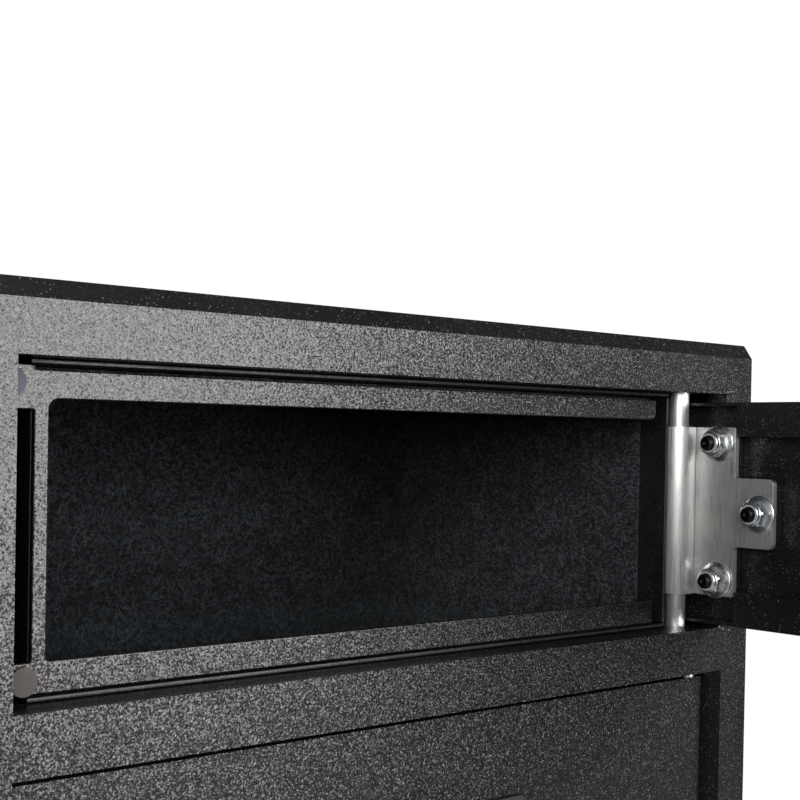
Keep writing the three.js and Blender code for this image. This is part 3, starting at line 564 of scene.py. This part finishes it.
def build_chute():
    carpet_panel("back_carpet_felt", "back_carpet")
    carpet_panel("right_carpet_felt", "right_carpet")
    carpet_panel("left_carpet_felt", "left_carpet")
    carpet_panel("roof_carpet_felt", "roof_carpet", 3.0)
    for node in ("chute_left_wall", "chute_right_wall", "chute_roof", "chute_shelf",
                 "chute_back_baffle"):
        piece(node + "_sheet", cad_copy(node, 0.4, 2), SMOOTH, "cabinet", (node,))


def build_floor_mat():
    """The compartment's carpet, cut round the anchor holes."""
    low, high = mm_box("floor_mat")
    edge = rectangle(low.x, low.y, high.x, high.y, 4)
    holes = [circle(0, y, ANCHOR_RADIUS + 5, 40) for y in ANCHOR_HOLES]
    mat = plate(edge, low.z, high.z - 0.2, UP, holes=holes, edge=0.6)
    piece("floor_mat_felt", mat, CARPET, "cabinet", ("floor_mat",))


# ---- Drop door and its hinge ----

def arc(radius, start, end, steps):
    return [Vector((radius * math.cos(a), radius * math.sin(a)))
            for a in (math.radians(start + (end - start) * k / steps) for k in range(steps + 1))]


def build_hinge():
    pin = lathe([(0, 378.9), (3.2, 378.9), (3.9, 379.4), (4, 379.8), (4, 395.5), (3.92, 395.7),
                 (3.92, 465.1), (4, 465.3), (4, 481.0), (3.9, 481.4), (3.2, 481.9), (0, 481.9)],
                Matrix.Translation((*PIN, 0)), 56)
    piece("hinge_pin_turned", pin, ZINC, "cabinet", ("drop_door_hinge_pin",))

    barrel, sheet, seam = 7.0, 2.7, 215.2
    inner = barrel - sheet
    roll = ([Vector((-4.5, -barrel)), Vector((-2.5, -barrel))] + arc(barrel, -90, seam, 56)
            + arc(inner, seam, -90, 48) + [Vector((-2.5, -inner)), Vector((-4.5, -inner))])
    rolled = plate(roll, -34.5, 34.5, OPEN_DOOR, edge=0.3, segments=2,
                   pick=lambda e: max(v.co.x for v in e.verts) > -4.4)
    tab = outline([(-4.5, -34.5), (-4.5, 34.5), (-25.2, 34.5, 0.8), (-25.2, 14, 1.6),
                   (-43.4, 14, 2.4), (-43.4, -14, 2.4), (-25.2, -14, 1.6), (-25.2, -34.5, 0.8)])
    flat = plate(tab, -barrel, -inner, OPEN_DOOR @ BACKWARD, edge=0.35, segments=2,
                 pick=lambda e: max(v.co.x for v in e.verts) < -4.6)
    piece("hinge_leaf_rolled", [rolled, flat], ZINC, "drop_door",
          ("drop_door_hinge_leaf",), sharp=40)

    studs = [(17.4, 28.0), (37.3, 0.0), (17.4, -28.0)]
    backing = plate(outline([(-9, -32, 1), (-9, 32, 1), (-24, 32, 1), (-24, 12.5, 1),
                             (-43, 12.5, 2), (-43, -12.5, 2), (-24, -12.5, 1), (-24, -32, 1)]),
                    -11.5, -7.3, OPEN_DOOR @ BACKWARD, edge=0.4)
    rods = []
    for reach, z in studs:
        rows = [(3.0, -9.0)] + [(3.0, -9.0 + 0.125 * k) for k in range(1, 113)]
        rows += [(2.5, 5.3), (2.2, 5.6), (1.2, 5.6), (0.9, 4.9), (0, 4.7)]
        rods.append(lathe(rows, OPEN_DOOR @ place(-reach, 0, z, "Y"), 24,
                          threaded(1.0, 0.45, 5.05)))
    piece("hinge_studs_backing", backing, COAT, "drop_door", ("hinge_stud_plate",))
    piece("hinge_stud_ends", rods, OXIDE, "drop_door", sharp=50)

    for i, (reach, z) in enumerate(studs, 1):
        turned_by = Matrix.Rotation(math.radians((8, 37, -14)[i - 1]), 4, "Z")
        at = OPEN_DOOR @ place(-reach, -4.0, z, "Y") @ turned_by
        rows = [(3.3, 0), (7.1, 0), (7.4, 0.15), (7.5, 0.45), (7.4, 0.8), (7.0, 1.05),
                (5.9, 1.45), (5.78, 1.6, 1), (5.78, 4.9, 1), (5.55, 5.4, 1), (5.1, 5.75, 1),
                (4.75, 5.8), (4.5, 6.0), (4.5, 6.7), (4.35, 7.05), (4.0, 7.3), (3.6, 7.4),
                (3.3, 7.2)]
        nut = lathe(rows, at, 72, hexed(10), closed=True)
        piece(f"flange_nut_{i}", nut, NUT_ZINC, "drop_door", (f"hinge_nut_{i}",), 28)
        collar = lathe([(3.05, 5.0), (3.9, 5.0), (3.9, 7.36), (3.5, 7.44), (3.15, 7.3),
                        (3.05, 7.0)], at, 40, closed=True)
        piece(f"nylon_ring_{i}", collar, NYLON, "drop_door")


def build_drop_door():
    pan = cad_copy("drop_door_pan")
    soften(pan, 0.45, 3, 40)
    piece("drop_door_pan_folded", pan, COAT, "drop_door", ("drop_door_pan",))

    middle = -0.8
    lock_at = OPEN_DOOR @ place(-CAM_LOCK_REACH, -13.6, middle, "Y", -1)
    bezel = lathe([(5.8, -13.5), (9, -13.5), (9, -0.1), (10.6, -0.1), (11, 0.2), (11, 1.2),
                   (10.4, 1.9), (9.4, 2.2), (7.0, 2.2), (6.2, 1.9), (5.8, 1.4)],
                  lock_at, 64, closed=True)
    piece("cam_lock_bezel", bezel, CHROME, "drop_door", ("cam_lock_barrel",))
    piece("cam_plug_face", cad_copy("cam_lock_plug", 0.25, 2), CHROME, "lock_cam",
          ("cam_lock_plug",))
    piece("cam_blade", cad_copy("drop_lock_cam", 0.4, 2), NUT_ZINC, "lock_cam",
          ("drop_lock_cam",))
    nut = lathe([(9.35, 0), (12.4, 0, 1), (13.0, 0.4, 1), (13.0, 2.2, 1), (12.2, 2.7, 1),
                 (9.35, 2.7)], OPEN_DOOR @ place(-CAM_LOCK_REACH, -11.5, middle, "Y"), 72,
                hexed(22.4), closed=True)
    piece("cam_lock_hex", nut, NUT_ZINC, "drop_door", ("cam_lock_nut",))

    knob_at = OPEN_DOOR @ place(-KNOB_REACH, -13.6, middle, "Y", -1)
    knob = lathe([(0, 0), (6.6, 0), (7, 0.3), (6.8, 1.2), (5.4, 3.4), (5.0, 4.6), (5.2, 6.2),
                  (6.4, 7.6), (9.6, 9.2), (10.7, 10.1), (11, 11.0), (11, 13.9), (10.6, 15.0),
                  (9.4, 15.8), (8.6, 15.9), (8.2, 15.7), (0, 15.7)], knob_at, 72)
    piece("pull_knob_turned", knob, CHROME, "drop_door", ("pull_knob",))
    screw = lathe([(2, -1.5), (2, 0.3), (4.3, 0.3), (4.5, 0.6), (4.3, 1.5), (3.4, 2.3),
                   (1.9, 2.65), (0, 2.7)],
                  OPEN_DOOR @ place(-KNOB_REACH, -11.8, middle, "Y"), 40)
    piece("pull_knob_screw_head", screw, NUT_ZINC, "drop_door", ("pull_knob_screw",))


# ---- Main door and lock ----

def build_main_door():
    slab = cad_copy("main_door_plate")
    head = max(v.co.z for v in slab.verts)
    for v in slab.verts:
        if v.co.z > head - 0.1:
            v.co.z -= 1.1  # a wider gap under the rail than the CAD door leaves
    soften(slab, 0.9, 3)
    piece("main_door_slab", slab, COAT, "main_door", ("main_door_plate",))
    for node, material, slot, edge in (("upper_pivot_pin", STEEL, "steel", 0.5),
                                       ("lower_pivot_pin", STEEL, "steel", 0.5),
                                       ("bolt_guide", STEEL, "steel", 0.4),
                                       ("inner_cover", COAT, "powder_coat", 0.6),
                                       ("lock_solenoid", STEEL, "steel", 0.6)):
        piece(node + "_finished", cad_copy(node, edge, 2), material, "main_door", (node,))
    low, high = mm_box("inner_cover")
    for i, (x, z) in enumerate([(low.x + 12, low.z + 12), (high.x - 12, low.z + 12),
                                (low.x + 12, high.z - 12), (high.x - 12, high.z - 12)], 1):
        rows = [(0, -1.5), (1.8, -1.5), (1.8, 0), (3.6, 0), (3.6, 0.5), (3.0, 1.3), (1.8, 1.75),
                (0, 1.9)]
        screw = lathe(rows, place(x, high.y, z, "Y"), 32)
        piece(f"cover_screw_{i}", screw, NUT_ZINC, "main_door")

    low, high = mm_box("battery_cover")
    lid = plate(rectangle(low.x, low.z, high.x, high.z, 4), low.y, high.y - 0.6, BACKWARD,
                edge=0.8)
    ribs = [plate(rectangle(low.x + 8, z, low.x + 26, z + 1.6, 0.7), high.y - 0.8, high.y,
                  BACKWARD, edge=0.3) for z in (268, 271.5, 275, 278.5, 282)]
    piece("battery_lid", [lid, *ribs], BLACK_PLASTIC, "main_door",
          ("battery_cover",))


KEY_LEGENDS = ("1", "2", "3", "4", "5", "6", "7", "8", "9", "*", "0", "#")


def build_lock():
    low, high = mm_box("lock_housing")
    holes = []
    for i in range(12):
        k0, k1 = mm_box(f"key_{i + 1}")
        holes.append(rectangle(k0.x - 0.3, k0.z - 0.3, k1.x + 0.3, k1.z + 0.3, 2.2))
    holes.append(circle(0, DIAL_HEIGHT, 6.4, 40))

    side, foot_reflection, head = 33.7, 205.4, 325.0

    def rim(edge):
        return all(abs(v.co.z - low.y) < NEAR and (
            abs(abs(v.co.x) - side) < 0.1 or not foot_reflection + 6 < v.co.y < head - 3.4)
            for v in edge.verts)

    body = plate(rectangle(-side, foot_reflection, side, head, 6, 10), low.y, high.y, BACKWARD,
                 holes=holes, edge=1.8, segments=5, pick=rim)
    flange = plate(rectangle(low.x, low.z, high.x, high.z, 5, 10), high.y - 2, high.y, BACKWARD,
                   holes=[rectangle(-side + 1, foot_reflection + 1, side - 1, head - 1, 5, 10)], edge=0.6,
                   segments=3, pick=lambda e: all(v.co.z < high.y - 1.9 for v in e.verts))
    collar = lathe([(17.0, 0), (18.8, 0), (18.8, -0.5), (18.3, -0.9), (17.5, -0.9),
                    (17.0, -0.5)], place(0, low.y + 0.1, DIAL_HEIGHT, "Y"), 72, closed=True)
    piece("lock_housing_moulded", [body, flange, collar], BLACK_PLASTIC, "main_door",
          ("lock_housing",))
    for tag, z, lens in (("red", 230, RED_LENS), ("green", 242, GREEN_LENS)):
        dome = lathe([(0, -0.5), (1.5, -0.5), (1.5, 0.1), (1.2, 0.5), (0.6, 0.7), (0, 0.75)],
                     place(-26.5, low.y, z, "Y", -1), 24)
        piece(f"indicator_{tag}", dome, lens, "main_door")

    for i, legend in enumerate(KEY_LEGENDS, 1):
        k0, k1 = mm_box(f"key_{i}")
        cap = plate(rectangle(k0.x, k0.z, k1.x, k1.z, 2), k0.y, k1.y, BACKWARD, edge=0.8,
                    segments=4,
                    pick=lambda e, y=k0.y: all(abs(v.co.z - y) < NEAR for v in e.verts))
        piece(f"key_cap_{i}", cap, KEY_PLASTIC, f"key_{i}", (f"key_{i}",))
        text = bpy.data.curves.new("legend", "FONT")
        text.body, text.size, text.extrude = legend, 6.4 * MM, 0.04 * MM
        text.align_x, text.align_y = "CENTER", "CENTER"
        drawn = bpy.data.objects.new("legend", text)
        bpy.context.scene.collection.objects.link(drawn)
        bpy.context.view_layer.update()
        mesh = bpy.data.meshes.new_from_object(
            drawn.evaluated_get(bpy.context.evaluated_depsgraph_get()))
        bpy.data.objects.remove(drawn)
        centre = sum((Vector(v.co) for v in mesh.vertices), Vector()) / len(mesh.vertices)
        on_cap = (k0 + k1) / 2 * MM + Vector((0, (k0.y - k1.y) / 2 * MM, 0))
        mesh.transform(Matrix.Translation(on_cap) @ Matrix.Rotation(math.pi / 2, 4, "X")
                       @ Matrix.Translation(-centre))
        mesh.materials.append(INK)
        digit = bpy.data.objects.new(f"key_legend_{i}", mesh)
        bpy.context.scene.collection.objects.link(digit)
        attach(digit, f"key_{i}")


def build_dial():
    low, high = mm_box("lock_dial")

    def knurl(angle, radius, _height, cut=0):
        return radius - 0.25 * cut * (0.5 + 0.5 * math.cos(angle * 60))

    at = place(0, high.y, DIAL_HEIGHT, "Y", -1)
    base = lathe([(0, 0), (15.6, 0), (16, 0.4, 0), (16, 0.8, 1), (16, 4.0, 1), (15.8, 4.4, 0),
                  (15.0, 5), (0, 5)], at, 240, knurl)
    grip_rim = low.y + 0.01
    grip = plate(rectangle(-4.5, DIAL_HEIGHT - 15, 4.5, DIAL_HEIGHT + 15, 4, 10), low.y,
                 high.y - 4.5, BACKWARD, edge=1.6, segments=5,
                 pick=lambda e: all(v.co.z < grip_rim for v in e.verts))
    piece("dial_knob", [base, grip], CHROME, "dial", ("lock_dial",))
    pointer = plate(rectangle(-0.6, DIAL_HEIGHT + 7, 0.6, DIAL_HEIGHT + 13, 0.5),
                    low.y - 0.02, low.y + 0.3, BACKWARD)
    piece("dial_pointer", pointer, INK, "dial")
    piece("dial_spindle_turned", cad_copy("dial_spindle", 0.3, 2), STEEL, "dial",
          ("dial_spindle",))


def build_boltwork():
    piece("bolt_carriage_plate", cad_copy("bolt_carriage", 0.5, 2), STEEL, "boltwork",
          ("bolt_carriage",))
    for i in (1, 2, 3):
        low, high = mm_box(f"locking_bolt_{i}")
        middle = (low + high) / 2
        length = high.x - low.x
        rows = [(0, 0), (4.4, 0), (5.3, 0.4), (6, 1.6), (6, length - 0.5), (5.5, length),
                (0, length)]
        bolt = lathe(rows, place(low.x, middle.y, middle.z, "X"), 48)
        piece(f"locking_bolt_turned_{i}", bolt, CHROME, "boltwork",
              (f"locking_bolt_{i}",))


# ---- Camera, floor and light ----

def build_camera():
    yaw, pitch, roll = (math.radians(a) for a in (41.088, -0.742, 1.034))
    ahead = Vector((math.sin(yaw) * math.cos(pitch), math.cos(yaw) * math.cos(pitch),
                    math.sin(pitch)))
    level = Vector((math.cos(yaw), -math.sin(yaw), 0))
    upright = level.cross(ahead)
    right = math.cos(roll) * level + math.sin(roll) * upright
    up = -math.sin(roll) * level + math.cos(roll) * upright
    data = bpy.data.cameras.new("camera")
    data.lens, data.sensor_width, data.shift_y = 62.4, 36.0, 0.0704
    data.clip_start = 0.01
    camera = bpy.data.objects.new("camera", data)
    bpy.context.scene.collection.objects.link(camera)
    turned_to = Matrix((right, up, -ahead)).transposed().to_4x4()
    camera.matrix_world = Matrix.Translation((-0.32348, -0.52086, 0.45807)) @ turned_to
    bpy.context.scene.camera = camera


def build_floor():
    """A pale floor that fades to plain white away from the object."""
    bm = bmesh.new()
    bmesh.ops.create_grid(bm, x_segments=2, y_segments=2, size=60)
    mesh = bpy.data.meshes.new("floor")
    bm.to_mesh(mesh)
    bm.free()
    floor = bpy.data.objects.new("floor", mesh)
    floor.location.z = -0.0002
    bpy.context.scene.collection.objects.link(floor)
    s = Shader("pale_floor", Roughness=0.9)
    s.bsdf.inputs["Base Color"].default_value = (0.78, 0.78, 0.77, 1)
    s.bsdf.inputs["Specular IOR Level"].default_value = 0.1
    distance = s.add("VectorMath", {0: s.place}, output="Value", operation="LENGTH")
    far = s.ramp(distance, 0.45, 1.15)
    seen = s.add("LightPath", {}, output="Is Camera Ray")
    glow = s.add("Emission", {"Color": (1, 1, 1, 1),
                              "Strength": s.ramp(seen, 0.0, 1.0, GLOW_CAST, GLOW_SEEN)})
    mixed = s.add("MixShader", {0: far, 1: s.bsdf.outputs[0], 2: glow})
    s.wire(s.tree.nodes["Material Output"].inputs["Surface"], mixed)
    mesh.materials.append(s.material)


def area_light(name, azimuth, elevation, distance, width, height, radiance,
               colour=(1, 1, 1), target=(0.0, -0.175, 0.43)):
    """A soft rectangular light; azimuth 0 is straight in front and 90 is on the right."""
    a, e = math.radians(azimuth), math.radians(elevation)
    away = Vector((math.sin(a) * math.cos(e), -math.cos(a) * math.cos(e), math.sin(e)))
    data = bpy.data.lights.new(name, "AREA")
    data.shape = "RECTANGLE"
    data.size, data.size_y = width, height
    data.energy = radiance * math.pi * width * height
    data.color = colour
    lamp = bpy.data.objects.new(name, data)
    lamp.location = Vector(target) + away * distance
    lamp.rotation_euler = away.to_track_quat("Z", "Y").to_euler()
    lamp.visible_camera = False
    bpy.context.scene.collection.objects.link(lamp)


def build_light():
    world = bpy.data.worlds.new("studio")
    world.use_nodes = True
    tree = world.node_tree
    background = tree.nodes["Background"]
    path = tree.nodes.new("ShaderNodeLightPath")
    strength = tree.nodes.new("ShaderNodeMapRange")
    strength.inputs["To Min"].default_value = GLOW_CAST
    strength.inputs["To Max"].default_value = GLOW_SEEN
    tree.links.new(path.outputs["Is Camera Ray"], strength.inputs["Value"])
    tree.links.new(strength.outputs[0], background.inputs["Strength"])
    background.inputs["Color"].default_value = (1, 1, 1, 1)
    bpy.context.scene.world = world
    bpy.context.scene.view_settings.view_transform = "Standard"
    area_light("key_softbox", 22, 4, 2.5, 1.25, 1.1, 12.5, (1.0, 0.985, 0.975))
    area_light("high_softbox", 40, 25, 2.5, 0.9, 0.7, 13)
    area_light("left_softbox", -48, 14, 1.8, 1.35, 0.9, 6.2)
    area_light("left_strip", -98, 12, 2.0, 0.9, 1.0, 0.5)
    area_light("overhead", 0, 80, 2.2, 1.6, 1.6, 0.3, target=(0, 0, 0.2))


def main():
    build_camera()
    build_floor()
    build_light()
    build_front_frame()
    build_wrap()
    build_welds()
    build_back()
    build_face_plate()
    build_bumpers()
    build_chute()
    build_floor_mat()
    build_hinge()
    build_drop_door()
    build_main_door()
    build_lock()
    build_dial()
    build_boltwork()


main()
